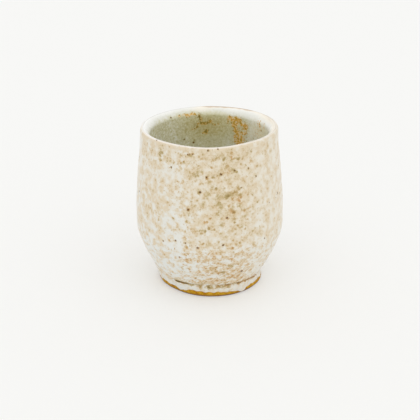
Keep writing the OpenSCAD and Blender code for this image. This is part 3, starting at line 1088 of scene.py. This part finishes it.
def make_outer_glaze():
    """The mottled coat outside."""
    face = smooth(paths.outer_face, OUTER_ROW)
    back = paths.outer_back[::-1]
    part = turned("outer_glaze_coat", OUTER_COLUMNS, (face, True), (back[:-1], False))
    draw_glaze_line(part)
    place = place_of(part)
    chatter = np.sin(math.tau * (part.height / CHATTER_PITCH + ripple(place, CHATTER_DRIFT)))
    flank = ease(part.height, *CHATTER_START) * (1 - ease(part.height, *CHATTER_END))
    relief = ripple(place, OUTER_RELIEF) + CHATTER * chatter * flank
    relief *= ease(CUP_HEIGHT - part.height, *LIP_CALM) * part.shows
    settle(part, relief)
    paint_outside(part)
    add_specks(part, paths.outer_face, OUTER_SPECKS + hidden_specks(OUTER_HIDDEN))
    dress(part, "outer_glaze", "mottled_glaze", mottled_glaze)


def paint_inside(part):
    """Stores what the inside glaze reads: its depth of colour, with painted light and shade in it, grain,
    rust, straw and tan.
    """
    down = CUP_HEIGHT - part.height
    fade = around(INSIDE_FADE, part.azimuth)
    # The white ends sooner at the back: painted shade on the back of the lip
    start = around(INSIDE_EDGE, part.azimuth) + INSIDE_START - FADE_EARLIER * fade
    way = np.clip((down - start) / (INSIDE_LENGTH + FADE_LONGER * fade), 0.0, 1.0)
    inside = FADE_SOFT * ease(way, 0.0, 1.0) + (1 - FADE_SOFT) * way * (2 - way)
    depth = LIP_DEPTH + WALL_DEPTH * inside
    # Paler lower on the wall: painted light against the shade inside the cup
    depth += LOWER_PAINTED_LIGHT * ease(down, *LOWER_LIGHT_START) + BOWL_DEPTH * ease(down, *BOWL_START)
    depth += (around(INSIDE_DEPTH, part.azimuth) + field(part, INSIDE_TONES)) * inside
    grain = LIP_GRAIN + (1 - LIP_GRAIN) * inside**2
    flecks = field(part, FLECKS, FINE_JITTER)
    straw = field(part, STRAWS)
    tone = TONE_RUST + TONE_FLECK * np.minimum(flecks, 1.0) + TONE_STRAW * straw
    tone += TONE_LOW * (1 - ease(part.height, *TONE_LOW_END))
    paint(
        part,
        depth=depth,
        grain=around(INSIDE_GRAININESS, part.azimuth) * grain,
        strewn=INSIDE_STREWN * inside,
        rust=np.minimum(field(part, RUSTS, FINE_JITTER) + flecks, RUST_MOST),
        straw=STRAW_COVER * straw * inside,
        olive=tone,
        tan=field(part, LIP_TANS, LIP_JITTER),
        flow=place_of(part),
    )


def make_liner_glaze():
    """The grey-green coat inside."""
    face = smooth(paths.liner_face[::-1], LINER_ROW)
    part = turned("liner_glaze_coat", LINER_COLUMNS, (paths.liner_back, False), (face, True))
    down = CUP_HEIGHT - part.height
    wall = ease(part.height, *LINER_START) * ease(down, *LINER_END)
    bottom = (1 - ease(part.height, *BOTTOM_END)) * ease(part.radius, *MIDDLE_CALM)
    relief = ripple(place_of(part), LINER_RELIEF)
    relief += LINER_RING * spiral(part.height, LINER_PITCH, part.azimuth) * wall
    relief += BOTTOM_RING * spiral(part.radius, BOTTOM_PITCH, -part.azimuth) * bottom
    relief *= ease(down, *LIP_CALM) * part.shows
    settle(part, relief)
    paint_inside(part)
    add_specks(part, paths.liner_face, LINER_SPECKS + hidden_specks(LINER_HIDDEN))
    dress(part, "liner_glaze", "celadon_glaze", celadon_glaze)


def make_clay():
    """The clay, which shows below the glaze line and on the foot ring."""
    inside = paths.liner_back[::-1]
    path = np.vstack((paths.well_back, paths.ring, paths.outer_back, inside[1:]))
    part = turned("clay_cup", CLAY_COLUMNS, (smooth(path, CLAY_ROW), True))
    place = place_of(part)
    bare = (part.radius > FOOT_RADIUS - BARE_WIDTH) & (part.height < FOOT_TOP)
    settle(part, ripple(place, CLAY_RELIEF) * bare * ease(part.height, *TABLE_CALM))
    toast = bare * ease(part.height, *TOAST_START)
    # Dark line at the table: scorched clay and painted contact shadow
    scorch = bare * (1 - ease(part.height, *SCORCH_AND_SHADOW_END))
    paint(part, toast=toast, scorch=scorch, flow=place)
    dress(part, "clay_body", "stoneware", stoneware)


def make_well_glaze():
    """The pale coat in the foot well."""
    face = smooth(paths.well_face, WELL_ROW)
    part = turned("foot_glaze_coat", WELL_COLUMNS, (face, True), (paths.well_back[::-1], False))
    place = place_of(part)
    cut = WELL_RING * spiral(part.radius, WELL_PITCH, -part.azimuth) * ease(part.radius, *MIDDLE_CALM)
    relief = (cut + ripple(place, WELL_RELIEF)) * (1 - ease(part.radius, *WELL_END))
    settle(part, relief * part.shows)
    paint(part, thin=WELL_THIN + WELL_EDGE_THIN * ease(part.radius, *WELL_EDGE), flow=place)
    dress(part, "foot_glaze", "well_glaze", well_glaze)


# Assembly

bpy.context.scene.view_settings.view_transform = "Standard"
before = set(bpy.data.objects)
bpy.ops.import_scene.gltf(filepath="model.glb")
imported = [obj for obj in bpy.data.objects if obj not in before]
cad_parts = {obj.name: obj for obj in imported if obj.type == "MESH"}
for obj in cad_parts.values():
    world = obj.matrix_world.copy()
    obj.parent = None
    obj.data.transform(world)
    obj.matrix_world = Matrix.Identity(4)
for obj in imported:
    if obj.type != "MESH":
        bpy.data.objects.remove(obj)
cad_low, cad_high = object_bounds()
paths = read_profiles()

# Sizes of the true form, read from the frame
CUP_HEIGHT = cad_high[2] / MM
BELLY_RADIUS = cad_high[0] / MM
corner = np.argmax(np.diff(paths.outer_face[:, 0]) < 0)
foot_corner, crease, shoulder, *flank = paths.outer_face[corner:]
FOOT_RADIUS, FOOT_TOP = foot_corner
CREASE_HEIGHT = crease[1]
CREASE_DEPTH = (foot_corner[0] + shoulder[0]) / 2 - crease[0]
SHOULDER_HEIGHT = shoulder[1]
FLANK_SLOPE = np.divide(*(flank[SLOPE_RING - 1] - shoulder))
FOOT_SLOPE = np.divide(*(paths.outer_back[1] - paths.outer_back[0]))

put_camera()
put_floor()
put_light()
make_clay()
make_outer_glaze()
make_liner_glaze()
make_well_glaze()
